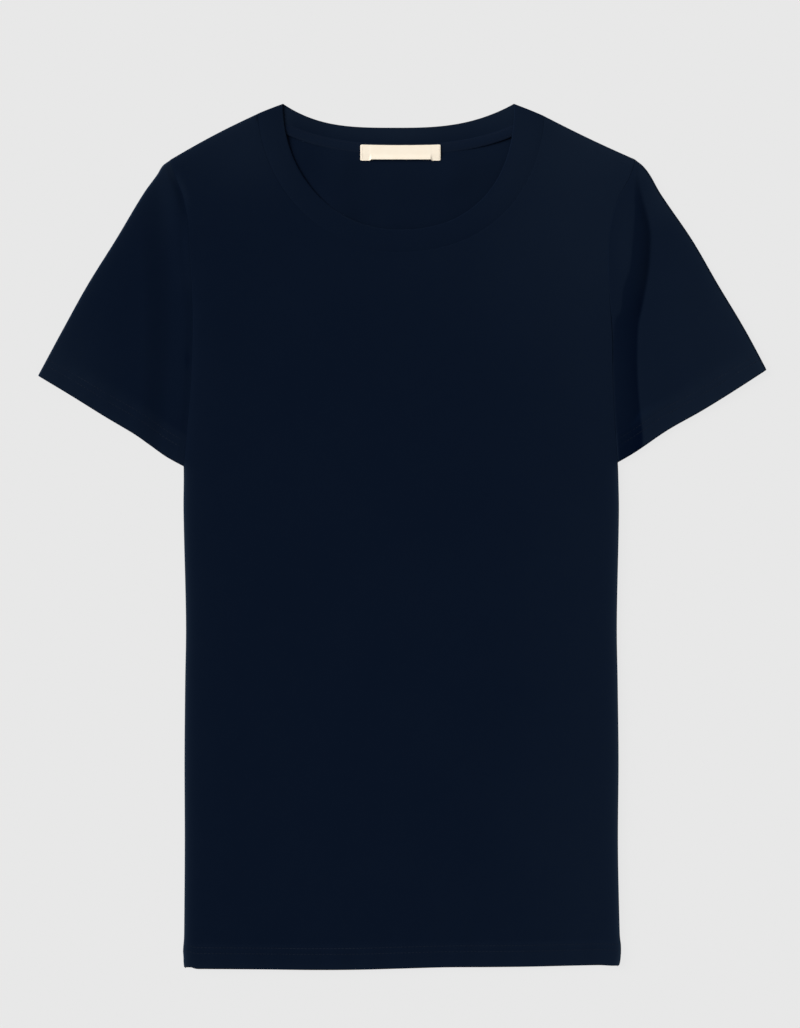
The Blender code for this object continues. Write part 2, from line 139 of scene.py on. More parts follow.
def fade(value, start, end):
    """The same step downwards, from 1 to 0."""
    return 1 - soft_step(value, start, end)


def straight(rows, column, place):
    """A table's column at any place along its y, on straight lines between the rows."""
    return np.interp(place, rows["y"], rows[column])


def smooth(rows, column, place):
    """The same on a smooth curve through the rows."""
    at, value = rows["y"], rows[column]
    last = len(at) - 1
    before = np.maximum(np.arange(last + 1) - 1, 0)
    after = np.minimum(np.arange(last + 1) + 1, last)
    slope = (value[after] - value[before]) / (at[after] - at[before])
    low = np.clip(np.searchsorted(at, place, side="right") - 1, 0, last - 1)
    width = at[low + 1] - at[low]
    share = (place - at[low]) / width
    bend = slope[low] * (1 - share) - slope[low + 1] * share
    return mix(value[low], value[low + 1], soft_step(share, 0.0, 1.0)) + width * share * (1 - share) * bend


def spot(*coordinates):
    """Points from separate coordinates."""
    return np.stack(np.broadcast_arrays(*coordinates), -1)


def lengths(vectors):
    return np.linalg.norm(vectors, axis=-1)


def unit(vectors):
    return vectors / np.maximum(lengths(vectors), 1e-9)[..., None]


def folds(rows, points):
    """Height that soft ridges and troughs add at some points."""
    total = 0
    for x0, y0, x1, y1, width, height in zip(*rows.values()):
        start, run = np.array((x0, y0)), np.array((x1 - x0, y1 - y0))
        share = np.clip((points - start) @ run / (run @ run), 0.0, 1.0)
        away = lengths(points - start - share[..., None] * run)
        total = total + height * np.exp(-(away / width) ** 2)
    return total


def body_edge(side, share):
    """Side seam and armhole, from the hem to the shoulder."""
    y = mix(HEM_CORNER[side], ARMHOLE_TOP, share)
    return spot(smooth(SIDES, side, y), y)


def body_hem(share):
    corners = mix(body_edge("left", 0.0), body_edge("right", 0.0), share[..., None])
    return corners - spot(0.0, smooth(HEM_LINE, "drop", share))


def above_hem(points):
    """How far points of a body panel lie above the hem's edge."""
    share = (points[..., 0] - SIDES["left"][0]) / (SIDES["right"][0] - SIDES["left"][0])
    return points[..., 1] - body_hem(share)[..., 1]


def front_curve(line, turn):
    """A neckline on the front: half a flattened circle from the left shoulder round to the right one."""
    on_left = turn < math.pi / 2
    half = np.where(on_left, line["left"], line["right"])
    power = np.where(on_left, line["left_power"], line["right_power"])
    reach = half * np.abs(np.cos(turn)) ** (2 / power) * np.where(on_left, -1, 1)
    drop = line["drop"] * np.abs(np.sin(turn)) ** (2 / power)
    return NECK_CENTRE + spot(reach, -drop)


def front_edge(share):
    """Folded edge of the neckband at the front."""
    return front_curve(NECK_EDGE, math.pi * share)


def front_seam(share):
    return front_curve(NECK_SEAM, mix(*NECK_SEAM_ENDS, share))


def back_curve(left, right, drop, powers, share):
    share = np.asarray(share)
    sag = drop * (1 - np.abs(2 * share - 1) ** np.where(share < 0.5, *powers))
    return mix(left, right, share[..., None]) - spot(0.0, sag)


def back_edge(share):
    """Folded edge of the neckband at the back."""
    return back_curve(front_edge(0.0), front_edge(1.0), BACK_EDGE_DROP, BACK_EDGE_POWERS, share)


def back_seam(share):
    return back_curve(front_seam(0.0), front_seam(1.0), BACK_SEAM_DROP, BACK_SEAM_POWERS, share)


def panel_top(seam, share):
    """Top edge of a body panel: shoulder, neckline, shoulder."""
    start, end = NECK_SHARE
    left = np.clip(share / start, 0.0, 1.0)
    right = np.clip((1 - share) / (1 - end), 0.0, 1.0)
    left_shoulder = mix(body_edge("left", 1.0), seam(0.0), left[..., None])
    left_shoulder = left_shoulder + spot(0.0, SHOULDER_BOW["left"] * np.sin(math.pi * left))
    right_shoulder = mix(body_edge("right", 1.0), seam(1.0), right[..., None])
    right_shoulder = right_shoulder + spot(0.0, SHOULDER_BOW["right"] * np.sin(math.pi * right))
    neckline = seam(np.clip((share - start) / (end - start), 0.0, 1.0))
    shoulders = np.where((share <= start)[..., None], left_shoulder, right_shoulder)
    return np.where(((share > start) & (share < end))[..., None], neckline, shoulders)


def panel_at(seam, across, up):
    """A point of a body panel. The bend of its sides fades out towards the shoulders' inner ends."""
    flat = mix(body_hem(across), panel_top(seam, across), up[..., None])
    for side, away in (("left", across), ("right", 1 - across)):
        bend = body_edge(side, up) - mix(body_edge(side, 0.0), body_edge(side, 1.0), up[..., None])
        flat = flat + bend * np.maximum(1 - away / NECK_SHARE[0], 0.0)[..., None]
    return flat


def rounded(between, start=True, width=EDGE_WIDTH):
    """Steps across a piece: share of the way, distance in from a rounded edge, how level the cloth lies."""
    turns = np.linspace(0.0, math.pi / 2, EDGE_STEPS + 1)
    inset, level = width * (1 - np.cos(turns)), np.sin(turns)
    rows = [np.stack([between, 0 * between, 0 * between + 1])]
    if start:
        rows.insert(0, np.stack([0 * inset, inset, level]))
    rows.append(np.stack([0 * inset + 1, -inset, level])[:, ::-1])
    return np.concatenate(rows, axis=1)


def shares_across(close, spacing):
    """Steps across a body panel, close at its sides and at the shoulders' inner ends."""
    width = SIDES["right"][0] - SIDES["left"][0]
    start, end = NECK_SHARE
    close = np.array(close) / width
    left = np.linspace(close[-1], start, round(start * width / spacing))
    middle = np.linspace(start, end, round((end - start) * width / spacing))[1:-1]
    right = np.linspace(end, 1 - close[-1], round((1 - end) * width / spacing))
    corner = np.array((0.006, 0.014)) * (end - start)
    steps = [close[:-1], left, start + corner, middle, end - corner, right, 1 - close[:-1]]
    return np.unique(np.concatenate(steps).round(6))


def shares_up(spacing):
    """Steps up a body panel, close at its hem."""
    height = ARMHOLE_TOP - HEM_CORNER["left"]
    lower, upper = STITCH_ROWS
    hem = (HEM_FOLD, 1.6, 3.0, 5.0, 7.5, 10.0, lower - 0.8, lower, lower + 0.8, 15.0, 16.0,
           upper - 0.7, upper, upper + 0.6, upper + 1.4, upper + 2.4, upper + 3.6, 23.0)
    return np.concatenate([hem, np.arange(26.0, height - EDGE_WIDTH - 1, spacing)]) / height


def panel_grid(seam, edge_width, close, spacing_across, spacing_up):
    """The points of a body panel and how they lie in it: how level at the sides, how far along the neckline
    and whether on it or on a shoulder, how far below the top edge and how level there."""
    share, inset, side_level = rounded(shares_across(close, spacing_across), width=edge_width)
    up, drop, top_level = rounded(shares_up(spacing_up), start=False)
    start, end = NECK_SHARE
    width = lengths(body_edge("right", up) - body_edge("left", up))[:, None]
    length = lengths(panel_top(seam, share) - body_hem(share))[None, :]
    up = up[:, None] + drop[:, None] / length
    flat = panel_at(seam, share + inset / width, up)
    along_neck = (share - start) / (end - start)
    over_neck = soft_step(np.minimum(along_neck, 1 - along_neck), 0.0, 0.02)
    return flat, side_level, along_neck, over_neck, (1 - up) * length, top_level[:, None]


def facing(points, closed=False):
    """Unit normals of a grid of points, from its rows and columns."""
    if closed:
        along = np.roll(points, -1, axis=1) - np.roll(points, 1, axis=1)
    else:
        along = np.gradient(points, axis=1)
    return unit(np.cross(along, np.gradient(points, axis=0)))


def turn_up(face, out, depth, radius=HEM_FOLD, closed=False):
    """Folds the cloth over inside along the first row of its face, for as many rows as the depth takes."""
    normal = facing(face, closed) * out
    down = unit(face[0] - face[1])
    centre = face[0] - normal[0] * radius
    turns = np.linspace(math.pi, 0.0, 9)[:-1]
    fold = [centre + radius * (normal[0] * math.cos(turn) + down * math.sin(turn)) for turn in turns]
    away = lengths(face - face[0]).mean(axis=1)
    inside = (face - normal * 2 * radius)[1:][away[1:] < depth]
    return np.concatenate([inside[::-1], np.array(fold), face])


def cloth(name, face, out, thickness, material, closed=False, marks=None):
    """A closed wall of cloth behind its face, a grid of points. Marks are numbers kept with each point."""
    back = face - facing(face, closed) * out * thickness
    rows, columns = face.shape[:2]
    points = np.concatenate([face.reshape(-1, 3), back.reshape(-1, 3)])
    index = np.arange(rows * columns).reshape(rows, columns)
    if closed:
        index = np.concatenate([index, index[:, :1]], axis=1)
    here, right = index[:-1, :-1], index[:-1, 1:]
    above, beyond = index[1:, :-1], index[1:, 1:]
    quads = np.stack([here, right, beyond, above], -1).reshape(-1, 4)
    if out < 0:
        quads = quads[:, ::-1]
    behind = rows * columns
    faces = [quads, quads[:, ::-1] + behind]
    rims = [index[0], index[-1][::-1]]
    if not closed:
        rims += [index[::-1, 0], index[:, -1]]
    for rim in rims:
        strip = np.stack([rim[1:], rim[:-1], rim[:-1] + behind, rim[1:] + behind], -1)
        faces.append(strip if out > 0 else strip[:, ::-1])
    mesh = bpy.data.meshes.new(name)
    mesh.from_pydata(points * MILLIMETRE, [], np.concatenate(faces).tolist())
    for mark, values in (marks or {}).items():
        keep(mesh, mark, np.tile(np.broadcast_to(values, (rows, columns)).ravel(), 2))
    mesh.shade_smooth()
    mesh.set_sharp_from_angle(angle=math.radians(60))
    return piece(name, mesh, material)


def keep(mesh, mark, values):
    """Keeps a number with each point of a mesh, for its material."""
    kept = mesh.attributes.new(mark, "FLOAT", "POINT")
    kept.data.foreach_set("value", values)


def piece(name, mesh, material):
    mesh.materials.append(material)
    made = bpy.data.objects.new(name, mesh)
    bpy.context.collection.objects.link(made)
    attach(made, "root")
    return made


def shade(points, *patches):
    """Painted light and shade round some places, lighter above 0 and darker below: x, y, reach across, reach
    up, amount.
    """
    total = 0
    for x, y, reach_x, reach_y, amount in patches:
        away = ((points[..., 0] - x) / reach_x) ** 2 + ((points[..., 1] - y) / reach_y) ** 2
        total = total + amount * np.exp(-away)
    return total


class Wire:
    """A shader socket. Sums written with it add their Math nodes."""

    def __init__(self, tree, socket=None):
        self.tree = tree
        self.socket = socket

    def node(self, kind, settings=None, inputs=None, output=0):
        made = self.tree.nodes.new("ShaderNode" + kind)
        for name, value in (settings or {}).items():
            setattr(made, name, value)
        for name, value in (inputs or {}).items():
            if isinstance(value, Wire):
                self.tree.links.new(value.socket, made.inputs[name])
            else:
                made.inputs[name].default_value = value
        return Wire(self.tree, made.outputs[output])

    def math(self, operation, *values):
        return self.node("Math", {"operation": operation}, dict(enumerate((self, *values))))

    def __add__(self, other):
        return self.math("ADD", other)

    def __mul__(self, other):
        return self.math("MULTIPLY", other)

    def __sub__(self, other):
        return self.math("SUBTRACT", other)

    def __rsub__(self, other):
        return self.node("Math", {"operation": "SUBTRACT"}, {0: other, 1: self})

    __radd__ = __add__
    __rmul__ = __mul__

    def noise(self, size, detail=2.0):
        """Soft noise with lumps of about this size in millimetres, from 0 to 1."""
        return self.node("TexNoise", {}, {"Vector": self, "Scale": 1000 / size, "Detail": detail})

    def blend(self, low, high):
        """A colour between two others."""
        settings = {"data_type": "RGBA", "clamp_factor": False}
        return self.node("Mix", settings, {0: self, 6: (*low, 1.0), 7: (*high, 1.0)}, 2)


class Finish:
    """A material with its plain numbers set, and the wires that vary it."""

    def __init__(self, name, roughness, sheen, sheen_tint, specular):
        self.material = bpy.data.materials.new(name)
        self.material.use_nodes = True
        self.tree = self.material.node_tree
        self.shader = self.tree.nodes["Principled BSDF"]
        self.shader.inputs["Roughness"].default_value = roughness
        self.shader.inputs["Specular IOR Level"].default_value = specular
        self.shader.inputs["Sheen Weight"].default_value = sheen
        self.shader.inputs["Sheen Roughness"].default_value = 0.35
        self.shader.inputs["Sheen Tint"].default_value = (*sheen_tint, 1.0)
        self.place = self.read("TexCoord", {}, "Object")

    def read(self, kind, settings, output):
        """A wire from a node that has no inputs."""
        return Wire(self.tree).node(kind, settings, {}, output)

    def axis(self, name):
        """One coordinate of the place, in millimetres."""
        apart = self.place.node("SeparateXYZ", {}, {0: self.place}, name)
        return apart * 1000

    def relief(self, height, depth, strength):
        settings = {"Strength": strength, "Distance": depth * MILLIMETRE, "Height": height}
        bump = self.place.node("Bump", {}, settings)
        self.tree.links.new(bump.socket, self.shader.inputs["Normal"])

    def colour(self, tone):
        self.tree.links.new(tone.socket, self.shader.inputs["Base Color"])


SHEEN_TINT = (0.10, 0.15, 0.24)
NAVY, NAVY_PALE = (0.0030, 0.0064, 0.0158), (0.0064, 0.0117, 0.0232)


def dyed_cotton(name, deep, pale):
    """Matt cotton with a random patchy tone. The mesh's mark gives a tone that is mostly painted light and
    shade: lighter above 0, darker below.
    """
    made = Finish(name, roughness=0.95, sheen=0.35, sheen_tint=SHEEN_TINT, specular=0.0)
    fuzz = made.place.noise(1.6, 3.0)
    marked = made.read("Attribute", {"attribute_name": "tone_and_painted_light"}, "Fac")
    patchy = made.place.noise(80.0) * 0.16 + made.place.noise(13.0) * 0.08 + fuzz * 0.08 - 0.16
    made.colour((marked + patchy).blend(deep, pale))
    return made, fuzz


WALE, COURSE = 0.62, 0.5                # spacing of the knit's columns and rows of loops
jersey, fuzz = dyed_cotton("navy_jersey", NAVY, NAVY_PALE)
wander = (jersey.place.noise(9.0) - 0.5) * WALE * 1.6
columns = ((jersey.axis("X") + wander) * (math.pi / WALE)).math("SINE").math("ABSOLUTE")
loops = ((jersey.axis("Y") + columns * COURSE * 0.5) * (2 * math.pi / COURSE)).math("SINE")
jersey.relief(columns * 0.5 + loops * 0.12 + fuzz * 0.9, 0.10, 0.30)


def stitch_grooves(above, rows=STITCH_ROWS, width=0.7):
    """How deep two rows of stitching pull the cloth in, from 0 to 1, this far above the hem's edge."""
    return sum(np.exp(-((above - row) / width) ** 2) for row in rows)


def make_back():
    flat, side_level, _, over_neck, _, top_level = panel_grid(
        back_seam, EDGE_WIDTH, BACK_STEPS, spacing_across=3.6, spacing_up=6.0)
    lift = folds(BACK_FOLDS, flat) + UNDERSIDE_PULL * stitch_grooves(above_hem(flat))
    height = mix(straight(BACK_EDGE_LEVEL, "level", flat[..., 1]), 0.0, side_level) + lift
    height = mix(mix(SEAM_LEVEL, height, over_neck), height, top_level)
    face = turn_up(spot(flat[..., 0], flat[..., 1], height), -1, HEM_DEPTH)
    # A plain tone, with painted light and shade inside the neck opening
    tone_and_painted_light = 0.16 + shade(face, *BACK_PAINTED_SHADING)
    back = cloth("back_panel", face, -1, JERSEY, jersey.material, marks={"tone_and_painted_light": tone_and_painted_light})
    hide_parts("back")


make_back()


# ------------------------------------------------------------------------- front
# The front of the body, one layer of the same jersey with a deep round neckline and the same turned-up hem.
# Below the sleeves its left side rolls down softly and its right one springs up, and beside them it lies
# level with them.

BODY_HEIGHT = 3.9       # outer face of the front over the body
SHOULDER_RISE = 0.7     # how much higher it lies towards the shoulders
SHOULDER_ZONE = (110.0, 250.0)
HEM_LIFT = 0.25         # how proud the doubled hem stands
HEM_END = (18.2, 20.4)  # between which it comes down to one layer
HEM_PULL = 0.09         # how deep its stitching pulls it in
NECK_DIP = 0.15         # depth of the groove along the neck seam
PUCKER = 0.07           # height of the puckers along it
PUCKER_REACH = 7.0
FAR = 999.0             # past the reach of any mark
FRONT_EDGE = 0.7        # how far in the front's rounded sides reach
FRONT_STEPS = (0.9, 1.4, 2.0, 2.8, 3.8, 5.0, 6.4, 8.0, 10.0)
ROLL_REACH, GROOVE_REACH, SPRING_REACH = 4.2, 1.7, 4.0

# Along each side: the height of the very edge, and how far the cloth beside it rolls down or springs up
FRONT_SIDES = table(
    "y left right roll spring groove",
    (-350, 2.45, 2.45, 0.55, 0.30, 0),
    (-300, 2.45, 2.45, 0.75, 0.40, 0),
    (40, 2.45, 2.45, 0.80, 0.40, 0),
    (62, 3.10, 3.55, 0.65, -0.10, 0),
    (96, 3.20, 3.62, 0.55, -0.16, 0),
    (175, 3.20, 3.68, 0.55, -0.14, 0),
    (192, 3.60, 4, 0.45, 0, 0),
    (205, 3.95, 4.25, 0.30, 0, 0),
    (240, 4.50, 4.45, 0, 0, 0),
    (256, 4.40, 4.45, 0, 0, 0.15),
    (268, 4.10, 4.40, 0, 0, 0.40),
    (288, 4.05, 4.40, 0, 0, 0.50),
    (302, 4.25, 4.45, 0, 0, 0.10),
)
BODY_FOLDS = table(
    "x0 y0 x1 y1 width height",
    (120, 60, 96, 230, 24, 0.22),
    (-120, 150, -90, 260, 28, -0.22),
    (-60, -60, -95, -230, 36, -0.28),
    (60, -150, 84, 20, 32, 0.22),
    (-30, 205, 35, 214, 12, 0.12),
    (20, -250, 110, -262, 20, 0.14),
    (-140, -300, -150, -180, 16, 0.12),
)
FRONT_PAINTED_SHADING = (       # painted light, lighter towards the right side and the shoulders, as for shade
    (175, 0, 70, 420, 0.28), (150, 270, 110, 110, 0.40), (150, 320, 60, 35, 0.35),
    (-130, 322, 55, 40, 0.50), (-182, -60, 22, 330, 0.15), (0, 225, 120, 60, 0.06),
    (150, -300, 70, 110, 0.16),
)


def front_height(points):
    """Height of the front's outer face away from its rounded edges."""
    x, y = points[..., 0], points[..., 1]
    height = BODY_HEIGHT + SHOULDER_RISE * soft_step(y, *SHOULDER_ZONE) + folds(BODY_FOLDS, points)
    from_left = np.maximum(x - smooth(SIDES, "left", y) - FRONT_EDGE, 0.0)
    from_right = np.maximum(smooth(SIDES, "right", y) - x - FRONT_EDGE, 0.0)
    height = height - straight(FRONT_SIDES, "roll", y) * np.exp(-from_left / ROLL_REACH)
    height = height - straight(FRONT_SIDES, "groove", y) * np.exp(-from_left / GROOVE_REACH)
    height = height + straight(FRONT_SIDES, "spring", y) * np.exp(-from_right / SPRING_REACH)
    above = above_hem(points)
    ripple = 0.10 * np.sin(x / 7.3) * np.sin(x / 18.1 + 1.0) + 0.06 * np.sin(x / 3.9 + 2.0)
    height = height + ripple * np.exp(-(above - 12.0) ** 2 / 200.0)
    return height + HEM_LIFT * fade(above, *HEM_END) - HEM_PULL * stitch_grooves(above)


def rim(away, reach=2.6):
    """How strong the painted highlight along an edge of the garment is, this far from the edge."""
    return np.exp(-np.maximum(away, 0.0) / reach)


def make_front():
    flat, side_level, along_neck, over_neck, below, top_level = panel_grid(
        front_seam, FRONT_EDGE, FRONT_STEPS, spacing_across=2.4, spacing_up=4.4)
    left_half = flat[..., 0] < 0
    edge = np.where(left_half, *(straight(FRONT_SIDES, side, flat[..., 1]) for side in ("left", "right")))
    pucker = np.sin(along_neck * 258) * (0.6 + 0.4 * np.sin(along_neck * 31 + 1)) * over_neck
    top = front_height(flat) + PUCKER * pucker * np.exp(-below / PUCKER_REACH)
    height = mix(edge, top, side_level)
    height = mix(mix(SEAM_LEVEL, top - NECK_DIP, over_neck), height, top_level)
    face = turn_up(spot(flat[..., 0], flat[..., 1], height), 1, HEM_DEPTH)
    # Painted light, lighter towards the right side and the shoulders
    tone_and_painted_light = 0.03 + shade(face, *FRONT_PAINTED_SHADING)
    above = above_hem(face)
    # Lighter over the doubled hem, and a painted highlight along its edge
    tone_and_painted_light = tone_and_painted_light + 0.12 * fade(above, 17.0, 22.0) + 0.25 * rim(above, 4.0)
    on_edge = fade(face[..., 1], 52.0, 62.0)
    from_left = face[..., 0] - smooth(SIDES, "left", face[..., 1])
    from_right = smooth(SIDES, "right", face[..., 1]) - face[..., 0]
    # Painted highlights along both sides below the sleeves
    tone_and_painted_light = tone_and_painted_light + on_edge * (1.7 * rim(from_left) + 2.2 * rim(from_left, 0.9))
    tone_and_painted_light = tone_and_painted_light + on_edge * (1.2 * rim(from_right, 3.0) + 2.2 * rim(from_right, 1.0))
    # A painted highlight beside the left armhole seam
    seam = soft_step(face[..., 1], 264.0, 278.0) * fade(face[..., 1], 288.0, 300.0)
    tone_and_painted_light = tone_and_painted_light + 0.28 * seam * np.exp(-((from_left - 2.8) / 2.4) ** 2)
    # A painted highlight along the shoulders
    turned = np.full((len(face) - len(below), below.shape[1]), FAR)
    from_shoulder = np.concatenate([turned, np.where(over_neck > 0.5, FAR, below)])
    tone_and_painted_light = tone_and_painted_light + 0.5 * rim(from_shoulder, 4.0)
    front = cloth("front_panel", face, 1, JERSEY, jersey.material, marks={"tone_and_painted_light": tone_and_painted_light})
    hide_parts("front")


make_front()


# ----------------------------------------------------------------------- sleeves
# Two set-in sleeves, each one piece of jersey folded along the top of the arm, its underarm seam beside the
# body and its cuff hem turned up inside. Below the open armhole seam the body's folded edge lies over them.

SLEEVE_HEIGHT = 4.6
OVERARM = table(
    "y left right",
    (129, -295.6, 298.3),
    (167, -275.3, 278.1),
    (204, -254.8, 256),
    (240, -232.3, 235.1),
    (277, -210.1, 209.8),
    (293, -198.6, 200.6),
    (300, -194.2, 195),
    (304.7, -187.9, 189.1),
)
CUFF_TIP = {"left": 130.0, "right": 134.8}
CUFF_UNDERARM = {"left": 55.2, "right": 57.8}
CUFF_LINES = {          # how far the cuff's edge bulges out, from the underarm to the fold
    "left": table("y out", (0, 0), (0.13, 1), (0.24, 0), (0.35, -0.9), (0.55, -0.4), (0.78, -0.4), (1, 0)),
    "right": table("y out", (0, 0), (0.13, 0.5), (0.35, -0.8), (0.57, 0.5), (0.78, 0.6), (1, 0)),
}
CUFF_WAY = (0.51, -0.86)                # the way out, square to the edge; mirrored on the left
CUFF_HEIGHT = 3.1       # least height that two hems need on each other
CUFF_SLOPE = (17.0, 56.0)               # between which the sleeve comes down from them
CREASE = 0.12           # and how softly it does
CUFF_LIFT = 0.075       # how proud the hem stands
CUFF_PULL = 0.05        # how deep its stitching pulls it in
CUFF_GROOVE = 0.8       # and how wide
TUCK = 6.0              # how far the sleeve reaches under the front's folded edge
UNDERARM_TUCK = 2.0     # and at its underarm seam
SLEEVE_HEM = 0.907      # share of the way down the overarm at which the cuff's hem begins
UNDERARM_HEM = 80.0
CUFF_ROWS = (11.0, 15.6)                # stitching on the cuffs, measured up from the edge
SLEEVE_LENGTH = 204.0   # along the overarm

# Heights of the left sleeve at some distances out from the body
LEFT_DISTANCES = {"foot": -1.3, "beside": 0.0, "near": 6.5, "trough": 18.0, "crest": 40.0}
LEFT_HEIGHTS = table(
    "y foot beside near trough crest",
    (60, 2.5, 3.1, 3.4, 3.4, 4.5),
    (80, 2.5, 3.1, 3.4, 3.3, 4.7),
    (96, 2.5, 3.15, 3.45, 3.3, 4.8),
    (186, 2.5, 3.2, 3.5, 3.3, 4.8),
    (205, 3.1, 3.9, 3.85, 3.4, 4.8),
    (240, 3.7, 4.4, 4, 3.5, 4.8),
    (258, 3.7, 4.15, 4.35, 3.6, 4.7),
    (270, 3.5, 3.9, 4.6, 4, 4.6),
    (286, 3.5, 3.85, 4.65, 4.3, 4.6),
    (306, 3.6, 4.2, 4.6, 4.5, 4.6),
)

# The fold in the right sleeve: the line from which it drops, the line where it lands, and both heights
RIGHT_FOLD = table(
    "y foot top_x top low_x low",
    (57, 2.7, 174.8, 3.6, 193, 2.9),
    (78, 2.75, 173.4, 3.6, 194.6, 2.6),
    (98, 2.9, 172, 3.6, 192.8, 2.2),
    (120, 2.9, 171, 3.6, 191, 2.05),
    (143, 2.9, 170.4, 3.6, 190.2, 2.05),
    (167, 2.9, 170.5, 3.65, 190.8, 2.05),
    (176, 3, 172, 3.8, 192, 2.05),
    (182, 3.2, 176, 4.1, 193.4, 2),
    (200, 3.6, 178, 4.5, 197, 1.9),
    (216, 4, 183.4, 4.7, 199.6, 1.9),
    (244, 4.15, 186.4, 4.7, 201, 2.2),
    (260, 4.15, 187.8, 4.7, 198, 2.8),
    (276, 4.15, 187.8, 4.6, 193.6, 3.7),
    (290, 4.15, 188.6, 4.5, 190.8, 4.3),
    (306, 4.1, 190, 4.4, 192, 4.4),
)
SLEEVE_FOLDS = {
    "left": table("x0 y0 x1 y1 width height", (-250.0, 125.0, -236.0, 190.0, 14.0, 0.20)),
    "right": table("x0 y0 x1 y1 width height", (240.0, 130.0, 228.0, 200.0, 16.0, 0.25)),
}

# Painted light and shade on the sleeves, as for shade
SLEEVE_PAINTED_SHADING = {
    "left": ((-194, 280, 14, 38, 0.35), (-272, 140, 32, 36, 0.30), (-170, 215, 12, 24, 0.15),
             (-200, 270, 5, 26, -0.12), (-174.5, 143, 2.5, 7, -0.25), (-186, 293, 5, 8, 0.30),
             (-191, 300, 6, 6, 0.45)),
    "right": ((272, 160, 55, 80, 0.28), (208, 277, 14, 22, 0.45), (180, 240, 8, 40, 0.22),
              (194, 297, 7, 9, 0.30)),
}


def fold_shares(points):
    """Shares of the way up to the right sleeve's fold and down it, and the distance past its foot."""
    x, y = points[..., 0], points[..., 1]
    body = smooth(SIDES, "right", np.maximum(y, UNDERARM))
    top_x, low_x = smooth(RIGHT_FOLD, "top_x", y), smooth(RIGHT_FOLD, "low_x", y)
    rise = np.clip((x - body) / (top_x - body), 0.0, 1.0)
    drop = np.clip((x - top_x) / (low_x - top_x), 0.0, 1.0)
    return rise, drop, x - low_x


def sleeve_height(side, points, above_cuff):
    """Height of a sleeve's outer face away from its rounded edges."""
    x, y = points[..., 0], points[..., 1]
    body = smooth(SIDES, side, np.maximum(y, UNDERARM))
    if side == "left":
        names, places = zip(*LEFT_DISTANCES.items())
        height = straight(LEFT_HEIGHTS, names[0], y)
        for name, near, far in zip(names[1:], places, places[1:]):
            height = mix(height, straight(LEFT_HEIGHTS, name, y), soft_step(body - x, near, far))
    else:
        foot, top, low = (straight(RIGHT_FOLD, name, y) for name in ("foot", "top", "low"))
        rise, drop, past = fold_shares(points)
        height = mix(foot, top, 0.9 * soft_step(x - body, -1.3, 0.0) + 0.1 * np.sin(rise * math.pi / 2))
        height = mix(height, low, 0.35 * drop + 0.65 * drop ** 3)
        height = mix(height, SLEEVE_HEIGHT, 1 - np.exp(-np.maximum(past, 0.0) / 50.0))
    height = height + folds(SLEEVE_FOLDS[side], points)
    least = mix(2 * JERSEY + 0.2, CUFF_HEIGHT, fade(above_cuff, *CUFF_SLOPE))
    height = CREASE * np.logaddexp(height / CREASE, least / CREASE)
    height = height + CUFF_LIFT * fade(above_cuff, 12.0, 24.0)
    return height - CUFF_PULL * stitch_grooves(above_cuff, CUFF_ROWS, CUFF_GROOVE)


def sleeve_plan(side, across, down, face, inset=0.0):
    """Points of a sleeve in plan: across from the underarm seam to the fold, down from the armhole to the
    cuff. The face, 1 or -1, is the upper or the lower layer."""
    out = -1 if side == "left" else 1
    hem, armhole_end = SIDES["y"][0], SIDES["y"][-1]
    start = (TUCK_START - hem) / (armhole_end - hem)
    low = (UNDERARM - hem) / (armhole_end - hem)

    def armhole(share):
        edge = body_edge(side, mix(start, 1.0, share))
        y = edge[..., 1]
        tuck = mix(TUCK, 0.6, soft_step(y, TUCK_END - 20, 236.0)) * (face > 0)
        tuck = mix(UNDERARM_TUCK, tuck, soft_step(y, TUCK_START + 2, TUCK_START + 10))
        return edge - spot(out * tuck, 0.0)

    def underarm(share):
        hemmed = np.clip((share - SLEEVE_HEM) / (1 - SLEEVE_HEM), 0.0, 1.0)
        y = mix(TUCK_START, UNDERARM_HEM, np.minimum(share / SLEEVE_HEM, 1.0))
        y = y + (CUFF_UNDERARM[side] - UNDERARM_HEM) * hemmed
        edge = body_edge(side, mix(low, start, (y - UNDERARM) / (TUCK_START - UNDERARM)))
        return edge - spot(out * UNDERARM_TUCK, 0.0)

    def overarm(share):
        y = mix(OVERARM["y"][-1], CUFF_TIP[side], share)
        return spot(smooth(OVERARM, side, y), y)

    across = across + inset / lengths(overarm(down) - underarm(down))
    cuff = mix(underarm(down * 0 + 1), overarm(down * 0 + 1), across[..., None])
    bulge = smooth(CUFF_LINES[side], "out", np.clip(across, 0.0, 1.0))
    cuff = cuff + spot(out * CUFF_WAY[0], CUFF_WAY[1]) * bulge[..., None]
    flat = mix(armhole(across), cuff, down[..., None])
    for edge, away in ((underarm, 1 - across), (overarm, across)):
        bend = edge(down) - mix(edge(down * 0), edge(down * 0 + 1), down[..., None])
        flat = flat + bend * away[..., None]
    return flat


